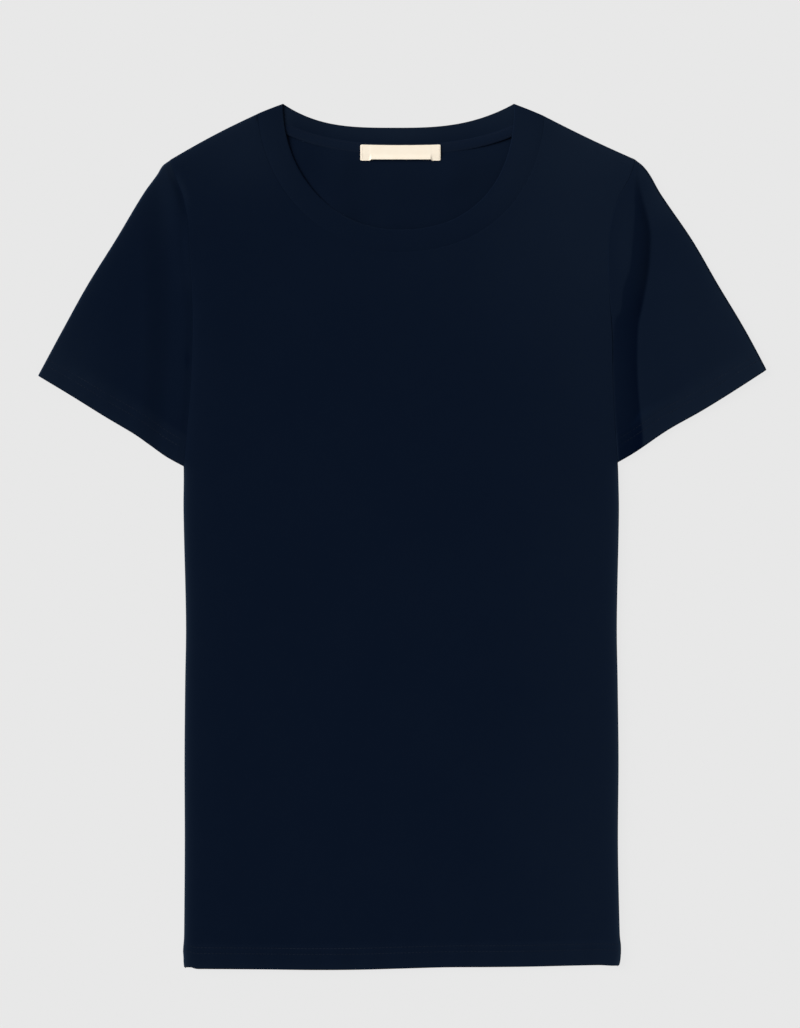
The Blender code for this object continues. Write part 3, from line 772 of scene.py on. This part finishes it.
def make_sleeve(side):
    steps = np.concatenate([np.linspace(0.018, 0.30, 36), np.linspace(0.30, 0.982, 70)[1:]])
    share, inset, level = rounded(steps)
    ring = np.stack([share, inset, level, 0 * share + 1])
    under = np.stack([share, inset, level, 0 * share - 1])[:, -2:0:-1]
    lower, upper = CUFF_ROWS
    hem = np.array((HEM_FOLD, 1.6, 3.0, 5.0, 7.5, lower - 0.9, lower, lower + 0.9, 13.4, upper - 0.8, upper,
                    upper + 0.9, 17.6, 18.6, 19.6, 20.8, 23.0))
    body = np.concatenate([np.arange(0.0, 9.0, 0.6), np.arange(9.6, 46.0, 1.8)])
    rows = np.concatenate([SLEEVE_LENGTH - hem, np.linspace(SLEEVE_LENGTH - 26.0, 48.0, 62), body[::-1]])
    down = rows[:, None] / SLEEVE_LENGTH
    around = np.concatenate([ring, under], axis=1)[:, None, :]
    down, across, inset, level, face = np.broadcast_arrays(down, *around)
    flat = sleeve_plan(side, across, down, face, inset)
    above_cuff = (1 - down) * SLEEVE_LENGTH
    ripple = 0.08 * np.sin(across * 41) * np.sin(across * 17 + 1) * np.exp(-(above_cuff - 12) ** 2 / 120)
    half = (sleeve_height(side, flat, above_cuff) + ripple) / 2
    height = half + face * level * half
    pulled = UNDERSIDE_PULL * level * stitch_grooves(above_cuff, CUFF_ROWS, CUFF_GROOVE)
    height = height + np.where(face < 0, pulled, 0.0)
    points = spot(flat[..., 0], flat[..., 1], height)
    out = 1 if facing(points, closed=True)[30, 30, 2] > 0 else -1
    points = turn_up(points, out, HEM_DEPTH + 1.0, closed=True)
    turned = len(points) - len(rows)
    above = np.concatenate([np.zeros(turned), SLEEVE_LENGTH - rows])[:, None]
    from_fold = lengths(points - points[:, len(share) - 1:len(share)])
    # Lighter over the cuff's hem, and a painted highlight along the cuff's edge
    tone_and_painted_light = 0.26 * fade(above, 12.0, 34.0) + 0.25 * rim(above, 4.0)
    x, y = points[..., 0], points[..., 1]
    if side == "left":
        # Left: painted shade beside the armhole seam, painted highlights along the fold, and painted light
        # and shade in patches
        seam = soft_step(y, 256.0, 266.0) * fade(y, 280.0, 292.0)
        tone_and_painted_light = tone_and_painted_light - 0.12 * seam * np.exp(-((smooth(SIDES, "left", y) - x - 1.8) / 1.8) ** 2)
        tone_and_painted_light = tone_and_painted_light + 0.7 * rim(from_fold, 3.2) + 0.35 * rim(from_fold, 9.0)
        tone_and_painted_light = tone_and_painted_light + shade(points, *SLEEVE_PAINTED_SHADING[side])
    else:
        # Right: painted light all over, painted highlights along the fold and painted light in patches
        _, drop, past = fold_shares(points)
        tone_and_painted_light = tone_and_painted_light + 0.30 + 0.4 * rim(from_fold, 4.0) + rim(from_fold, 1.2) + 0.15 * rim(from_fold, 12.0)
        tone_and_painted_light = tone_and_painted_light + shade(points, *SLEEVE_PAINTED_SHADING[side])
        # Painted shade in the valley between the body and the fold, darkest near the cuff
        depth = mix(-0.02 - 0.34 * drop, 0.0, soft_step(y, 180.0, 215.0))
        depth = depth - 0.25 * fade(y, 60.0, 105.0)
        valley_shade = soft_step(drop, 0.0, 0.10) * fade(past, -1.0, 1.5)
        valley_shade = valley_shade * fade(y, 270.0, 292.0)
        tone_and_painted_light = mix(tone_and_painted_light, depth, valley_shade)
    sleeve = cloth("sleeve_" + side + "_cloth", points, out, JERSEY, jersey.material, True, {"tone_and_painted_light": tone_and_painted_light})
    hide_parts("sleeve_" + side)


make_sleeve("left")
make_sleeve("right")


# ---------------------------------------------------------------------- neckband
# One strip of fine rib, folded double along its length and joined into a ring. Its two raw edges are sewn to
# the neckline, and it turns over at both shoulders, where the garment folds.

RIB = 0.60              # one layer of rib
BAND_HALF = 0.7         # half the thickness of the folded band at its seam
BAND_FOLD = 0.5         # and at its folded edge
BAND_WIDTH = 17.5
BAND_TOP = 4.8          # height at which it turns over at the shoulders
BAND_RIDGE = 0.05       # how proud it stands of the front
BAND_PLUMP = 0.18       # how much the middle of the band swells
BACK_LIFT = 1.8         # how far the back of the band lies off the table beside the shoulders
RIB_PITCH = 1.2
BACK_SECTIONS = 70      # lines across the band behind the neck
FRONT_START, BACK_START = 0.012, 0.03   # shares of the way round at which the band has turned over

# Painted light and shade, as for shade: all over, and on the folded edge in front
BAND_PAINTED_SHADING = ((-108, 325, 40, 60, 0.30), (108, 318, 50, 80, 0.45), (-30, 330, 50, 14, 0.14),
                (2, 324, 34, 12, 0.32))
BAND_EDGE_PAINTED_SHADING = ((-82, 300, 18, 28, -0.35), (84, 290, 40, 60, -0.20), (-97, 334, 8, 14, 0.40),
                     (-40, 260, 24, 14, 0.25))

rib, fuzz = dyed_cotton("navy_rib", NAVY, NAVY_PALE)
ribs = (rib.read("Attribute", {"attribute_name": "along"}, "Fac") * (2 * math.pi / RIB_PITCH)).math("SINE")
rib.relief(ribs * 0.4 + fuzz * 0.8, 0.12, 0.35)


def band_sections():
    """Lines across the band, from seam to folded edge, all round the neck: both ends and their height."""
    front = np.concatenate([np.linspace(FRONT_START, 0.05, 5)[:-1], np.linspace(0.05, 0.95, 100),
                            np.linspace(0.95, 1 - FRONT_START, 5)[1:]])
    near_fold = fade(np.minimum(front, 1 - front), 0.0, 0.1)
    level = mix(front_height(front_seam(front)) + BAND_RIDGE, BAND_TOP, near_fold) - BAND_HALF
    turns = np.radians(np.arange(90, -91, -10))
    radius = (BAND_TOP - BACK_LIFT) / 2
    inset = radius - (radius - BAND_HALF) * np.cos(turns)
    height = BACK_LIFT + radius + (radius - BAND_HALF) * np.sin(turns)
    turned = []
    for here, sign in ((0.0, -1), (1.0, 1)):
        along = unit(front_edge(here) - front_seam(here))
        outwards = np.array((along[1], -along[0])) * sign
        ends = []
        for over, under in ((front_seam, back_seam), (front_edge, back_edge)):
            start = over(here)
            ahead = over(abs(here - FRONT_START)) - start
            behind = under(abs(here - BACK_START)) - start
            runs = [ahead if turn > 0 else behind for turn in turns]
            ends.append(np.array([start - run * gap / (run @ outwards) for run, gap in zip(runs, inset)]))
        turned.append(ends)
    back = np.linspace(1 - BACK_START, BACK_START, BACK_SECTIONS)
    low = BAND_HALF + BACK_LIFT * fade(np.minimum(back, 1 - back), 0.02, 0.24)
    left, right = turned
    return (np.concatenate([left[0][::-1], front_seam(front), right[0], back_seam(back)]),
            np.concatenate([left[1][::-1], front_edge(front), right[1], back_edge(back)]),
            np.concatenate([height[::-1], level, height, low]))


def make_neckband():
    seam, edge, level = band_sections()
    middle = spot(*mix(seam, edge, 0.5).T, level)
    run = np.roll(middle, -1, axis=0) - np.roll(middle, 1, axis=0)
    along = np.cumsum(lengths(np.diff(middle, axis=0, prepend=middle[:1])))
    over = spot(*(edge - seam).T, 0 * level)
    up = unit(np.cross(run, over))
    start = spot(*seam.T, level)
    flat_part = np.linspace(0.0, 1.0, 13)
    top = mix(BAND_HALF, BAND_FOLD, flat_part) - 0.1 * fade(flat_part, 0.0, 0.12)
    plump = BAND_PLUMP * np.sin(math.pi * flat_part)
    turns = np.linspace(0.0, math.pi, 9)[1:-1]
    fold_start = 1 - BAND_FOLD / BAND_WIDTH
    flat_away = flat_part * fold_start
    away = np.concatenate([flat_away, mix(fold_start, 1.0, np.sin(turns)), flat_away[::-1]])
    lift = np.concatenate([top + plump, BAND_FOLD * np.cos(turns), -top[::-1]])
    face = start + over * away[:, None, None] + up * lift[:, None, None]
    out = 1 if facing(face, closed=True)[6, 60, 2] > 0 else -1
    # Painted light and shade all over the band
    tone_and_painted_light = 0.12 + shade(face, *BAND_PAINTED_SHADING)
    behind = np.arange(len(level)) > len(level) - BACK_SECTIONS - 5
    # On the folded edge in front: a painted shadow on its left, painted shade on its right and painted light
    # in two places. Behind the neck: painted light, lighter towards the fold and where the front's edge
    # shades it
    on_fold = np.exp(-((away[:, None] - 1) / 0.06) ** 2)
    painted_light_behind = 0.05 + 0.40 * soft_step(away[:, None], 0.2, 1.0)
    painted_light_behind = painted_light_behind + shade(face, (-95, 333, 4, 15, 0.7))
    tone_and_painted_light = tone_and_painted_light + np.where(behind, painted_light_behind, on_fold * shade(face, *BAND_EDGE_PAINTED_SHADING))
    marks = {"tone_and_painted_light": tone_and_painted_light, "along": along[None, :]}
    band = cloth("neckband_rib", face, out, RIB, rib.material, closed=True, marks=marks)
    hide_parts("neckband")


make_neckband()


# -------------------------------------------------------------------------- tape
# A narrow strip of the same jersey that covers the back neck seam inside, from shoulder to shoulder, both
# its edges turned under and stitched down.

TAPE = 0.30             # thickness of its cloth
TAPE_FOLD = 0.36        # radius of its turned edges
TAPE_WIDTH = 9.0
TAPE_RISE = 0.1         # how far its middle lies above the seam
TAPE_ENDS = (-104.0, 100.0)
TAPE_TOP = 2.45         # height of its upper face
TAPE_TURNED = 3.8

tape, fuzz = dyed_cotton("navy_tape", (0.0036, 0.0074, 0.0180), (0.0080, 0.0138, 0.0262))
tape.relief(fuzz + tape.place.noise(0.7), 0.12, 0.35)


def tape_at(along, away):
    """A point on the tape's upper face, away from its middle line towards the neck edge."""
    x = mix(*TAPE_ENDS, along)
    left, right = back_seam(0.0), back_seam(1.0)
    middle = back_seam((x - left[0]) / (right[0] - left[0]))
    lift = 0.85 * fade(np.minimum(along, 1 - along), 0.02, 0.24) - 0.018 * away ** 2
    return spot(x, middle[..., 1] + TAPE_RISE + away, TAPE_TOP + lift)


def make_tape():
    half = TAPE_WIDTH / 2 - TAPE_FOLD
    face = tape_at(np.linspace(0, 1, 90)[None, :], np.linspace(-half, half, 11)[:, None])
    face = turn_up(face, 1, TAPE_TURNED, TAPE_FOLD)
    face = turn_up(face[::-1], -1, TAPE_TURNED, TAPE_FOLD)
    # Painted light on the tape's left end and middle
    tone_and_painted_light = 0.26 + shade(face, (-75, 318, 14, 10, 0.10), (0, 314, 45, 10, 0.10))
    strip = cloth("neck_tape_strip", face, -1, TAPE, tape.material, marks={"tone_and_painted_light": tone_and_painted_light})
    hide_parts("neck_tape")


make_tape()


# ------------------------------------------------------------------------- label
# A woven satin label in cream, left bare, its two ends turned under and tacked down through the tape.
# Between the tacked ends its lower edge stands off the cloth.

LABEL = 0.22            # thickness of the ribbon
LABEL_FOLD = 0.25
LABEL_X = (-33.9, 31.1)
LABEL_Y = (304.3, 317.3)
LABEL_TURNED = 7.4
LABEL_TABS = (-26.6, 24.4)              # where the turned ends stop
TAB_SLOPE = 1.6         # and over which the ribbon comes down from them
LABEL_LEVELS = (2.85, 3.2)              # heights of its lower and upper parts
LABEL_STEP = (304.0, 310.5)             # between which it rises onto the tape
LABEL_LIFT = 0.7        # how far its lower edge stands off
LABEL_SHRINK = 0.9      # and how far it draws up
CREAM_SHEEN = (0.9, 0.85, 0.75)

satin = Finish("cream_satin", roughness=0.55, sheen=0.1, sheen_tint=CREAM_SHEEN, specular=0.35)
threads = (satin.axis("X") * (2 * math.pi / 0.35)).math("SINE")
threads = threads + (satin.axis("Y") * (2 * math.pi / 0.5)).math("SINE")
satin.relief(threads * 0.4 + satin.place.noise(1.2), 0.05, 0.3)
satin.colour((satin.place.noise(6.0) * 0.6 + threads * 0.1).blend((0.95, 0.83, 0.67), (1.0, 0.92, 0.78)))


def make_label():
    close = np.linspace(0, 2, 6)
    x = np.concatenate([np.linspace(LABEL_X[0] + LABEL_FOLD, LABEL_X[1] - LABEL_FOLD, 60),
                        LABEL_TABS[0] + close, LABEL_TABS[1] - close])
    x = np.unique(x)[:, None]
    y = np.linspace(*LABEL_Y, 16)[None, :]
    between = soft_step(x, LABEL_TABS[0], LABEL_TABS[0] + TAB_SLOPE)
    between = between * fade(x, LABEL_TABS[1] - TAB_SLOPE, LABEL_TABS[1])
    low = fade(y, LABEL_Y[0], LABEL_Y[0] + 6.0)
    middle = 1 - ((x - sum(LABEL_X) / 2) / 33.0) ** 2
    corner = np.maximum(1 - np.minimum(x - LABEL_X[0], LABEL_X[1] - x) / 1.2, 0.0) ** 2
    share = (y - LABEL_Y[0]) / (LABEL_Y[1] - LABEL_Y[0])
    flat_y = y + LABEL_SHRINK * between * low - 0.6 * middle * share + 0.5 * corner * (1 - 2 * share)
    height = mix(*LABEL_LEVELS, soft_step(y, *LABEL_STEP))
    height = height + LABEL_LIFT * between * low + 0.1 * between * middle
    face = turn_up(spot(x, flat_y, height), -1, LABEL_TURNED, LABEL_FOLD)
    face = turn_up(face[::-1], 1, LABEL_TURNED, LABEL_FOLD)
    label = cloth("neck_label", face, 1, LABEL, satin.material)
    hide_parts("label")


make_label()


# --------------------------------------------------------------------- stitching
# Cotton thread in the colour of the jersey. Two needle rows hold each hem and cuff, one row holds each edge
# of the tape, and cream thread tacks the ends of the label.

STITCH_SIDES = 6
STITCH_RINGS = ((-1.0, 0.45), (-0.6, 1.0), (0.6, 1.0), (1.0, 0.45))     # place along it, thickness there
SUNK = {"hem": 0.06, "cuff": 0.11, "tape": 0.07}    # how deep the thread lies in the cloth
UNDERSIDE = 0.24        # height of the rows underneath
CUFF_POINTS = 60
TAPE_ROWS = (-3.1, 3.1)                 # measured from the tape's middle

# Painted glints on the thread, and painted shade where the amount is below 0, as for shade
HEM_PAINTED_GLINTS = ((-77, -333, 26, 3, 0.9), (-43, -333, 12, 3, 0.7), (-11, -337, 16, 3, 0.6),
              (-155, -333, 8, 4, 0.5))
CUFF_PAINTED_GLINTS_AND_SHADE = {
    "left": ((-263, 126, 8, 6, 1.2), (-190, 77, 7, 6, 1.0)),
    "right": ((272, 135, 12, 8, 0.6), (184, 80, 10, 16, -0.4)),
}

thread = Finish("navy_thread", roughness=0.7, sheen=0.35, sheen_tint=SHEEN_TINT, specular=0.1)
# Random lighter spots along the thread: painted glints
random_glints = (thread.place.noise(16.0) - 0.5) * 3.0
glint = thread.read("Attribute", {"attribute_name": "tone_and_painted_light"}, "Fac")
thread.colour((random_glints.math("MAXIMUM", 0.0) * 0.5 + glint + thread.place.noise(0.6) * 0.3).blend(
    (0.0030, 0.0064, 0.0155), (0.0085, 0.0140, 0.0255)))
cream = Finish("cream_thread", roughness=0.7, sheen=0.1, sheen_tint=CREAM_SHEEN, specular=0.2)
cream.colour(cream.place.noise(0.6).blend((0.74, 0.62, 0.48), (0.88, 0.77, 0.63)))


def stitches(name, rows, material, node, pitch=3.0, length=2.5, radius=0.2, painted_at=()):
    """Rows of stitches. Each row is a line of points and the side on which it stands out, 1 up or -1 down.
    Painted glints on the thread, and painted shade below 0, are given as for shade."""
    turns = np.arange(STITCH_SIDES) * 2 * math.pi / STITCH_SIDES
    shape = np.array([(place * length / 2, size * radius * math.cos(turn), size * radius * math.sin(turn))
                      for place, size in STITCH_RINGS for turn in turns])
    points, faces = [], []
    for line, up in rows:
        far = np.concatenate([[0.0], np.cumsum(lengths(np.diff(line, axis=0)))])
        at = np.arange(pitch / 2, far[-1], pitch)
        here, ahead, behind = (np.stack([np.interp(at + step, far, axis) for axis in line.T], -1)
                               for step in (0.0, length / 2, -length / 2))
        run = unit(ahead - behind)
        side = unit(np.cross((0.0, 0.0, up), run))
        axes = np.stack([run, side, np.cross(run, side)], 1)
        points.append((here[:, None] + np.einsum("ij,njk->nik", shape, axes)).reshape(-1, 3))
    count = sum(map(len, points)) // len(shape)
    ring = np.arange(STITCH_SIDES)
    for first in range(0, count * len(shape), len(shape)):
        for band in range(len(STITCH_RINGS) - 1):
            low = first + band * STITCH_SIDES
            faces += [(low + a, low + b, low + b + STITCH_SIDES, low + a + STITCH_SIDES)
                      for a, b in zip(ring, np.roll(ring, -1))]
        faces.append(tuple(first + ring[::-1]))
        faces.append(tuple(first + len(shape) - STITCH_SIDES + ring))
    mesh = bpy.data.meshes.new(name)
    points = np.concatenate(points)
    mesh.from_pydata(points * MILLIMETRE, [], [tuple(map(int, face)) for face in faces])
    keep(mesh, "tone_and_painted_light", shade(points, *painted_at) + np.zeros(len(points)))
    mesh.shade_smooth()
    made = piece(name, mesh, material)
    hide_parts(node)


def hem_row(seam, row):
    """A line across a body panel, this far above its hem, in plan."""
    share = np.linspace(0.006, 0.994, 160)
    length = lengths(panel_top(seam, share) - body_hem(share))
    return panel_at(seam, share, row / length)


def cuff_row(side, row, face):
    share = np.linspace(0.02, 0.98, CUFF_POINTS)
    down = np.full(CUFF_POINTS, 1 - row / SLEEVE_LENGTH)
    return sleeve_plan(side, share, down, face)


front_rows = [hem_row(front_seam, row) for row in STITCH_ROWS]
front_rows = [spot(*line.T, front_height(line) - SUNK["hem"]) for line in front_rows]
stitches("front_hem_stitching", [(line, 1) for line in front_rows], thread.material, "front",
         painted_at=HEM_PAINTED_GLINTS)
back_rows = [hem_row(back_seam, row) for row in STITCH_ROWS]
stitches("back_hem_stitching", [(spot(*line.T, UNDERSIDE), -1) for line in back_rows],
         thread.material, "back")
for side in ("left", "right"):
    rows = []
    for row in CUFF_ROWS:
        line = cuff_row(side, row, 1)
        height = sleeve_height(side, line, np.full(CUFF_POINTS, row)) - SUNK["cuff"]
        rows.append((spot(*line.T, height), 1))
        rows.append((spot(*cuff_row(side, row, -1).T, UNDERSIDE), -1))
    stitches("sleeve_" + side + "_stitching", rows, thread.material, "sleeve_" + side,
             painted_at=CUFF_PAINTED_GLINTS_AND_SHADE[side])
tape_rows = [tape_at(np.linspace(0, 1, 90), away) - spot(0, 0, SUNK["tape"]) for away in TAPE_ROWS]
stitches("tape_stitching", [(line, 1) for line in tape_rows], thread.material, "neck_tape",
         pitch=2.8, length=2.3, radius=0.16)
up_label = np.linspace(LABEL_Y[0] + 0.8, LABEL_Y[1] - 0.8, 12)
tacks = [spot(x, up_label, mix(*LABEL_LEVELS, soft_step(up_label, *LABEL_STEP)))
         for x in (LABEL_X[0] + 1.3, LABEL_X[1] - 1.3)]
stitches("label_tacks", [(line, 1) for line in tacks], cream.material, "label",
         pitch=1.8, length=1.5, radius=0.12)


# ------------------------------------------------------------------ table, light
# The plain pale table that the shirt lies on, seen straight from above. A broad low lamp stands off towards
# the left shoulder, and the room gives an even light all round.

FLOOR_TONE = 0.806
FLOOR_DIFFUSE = 0.04    # the rest of the floor's brightness is its own, so shadows on it stay faint
VIEW_HEIGHT = 0.8337
CAMERA_HEIGHT = 2.4
SENSOR = 36.0
VIEW_CENTRE = (-0.0018, 0.018)
TABLE_SIZE = 12.0
TABLE_GAP = 0.0002      # keeps the table's face off the cloth's

bpy.ops.mesh.primitive_plane_add(size=TABLE_SIZE, location=(0.0, 0.0, -TABLE_GAP))
floor = bpy.context.object
floor.name = "table_top"
board = bpy.data.materials.new("pale_table")
board.use_nodes = True
surface = board.node_tree.nodes["Principled BSDF"]
surface.inputs["Base Color"].default_value = (FLOOR_TONE * FLOOR_DIFFUSE,) * 3 + (1.0,)
surface.inputs["Specular IOR Level"].default_value = 0.0
surface.inputs["Roughness"].default_value = 1.0
surface.inputs["Emission Color"].default_value = (1.0, 1.0, 1.0, 1.0)
surface.inputs["Emission Strength"].default_value = FLOOR_TONE * (1 - FLOOR_DIFFUSE)
floor.data.materials.append(board)

ROOM_LIGHT = 0.33
LAMP_ELEVATION, LAMP_TURN, LAMP_SIZE = math.radians(30), math.radians(25), math.radians(40)
world = bpy.data.worlds.new("room")
world.use_nodes = True
world.node_tree.nodes["Background"].inputs["Color"].default_value = (1.0, 1.0, 1.0, 1.0)
world.node_tree.nodes["Background"].inputs["Strength"].default_value = ROOM_LIGHT
bpy.context.scene.world = world
lamp = bpy.data.objects.new("lamp", bpy.data.lights.new("lamp", "SUN"))
lamp.data.energy = (1 - ROOM_LIGHT) * math.pi / math.sin(LAMP_ELEVATION)
lamp.data.angle = LAMP_SIZE
lamp.rotation_euler = (0.0, LAMP_ELEVATION - math.pi / 2, -LAMP_TURN)
bpy.context.collection.objects.link(lamp)

camera = bpy.data.objects.new("camera", bpy.data.cameras.new("camera"))
camera.data.sensor_width = SENSOR
camera.data.lens = SENSOR * CAMERA_HEIGHT / VIEW_HEIGHT
camera.location = (*VIEW_CENTRE, CAMERA_HEIGHT)
bpy.context.collection.objects.link(camera)
bpy.context.scene.camera = camera
bpy.context.scene.view_settings.view_transform = "Standard"
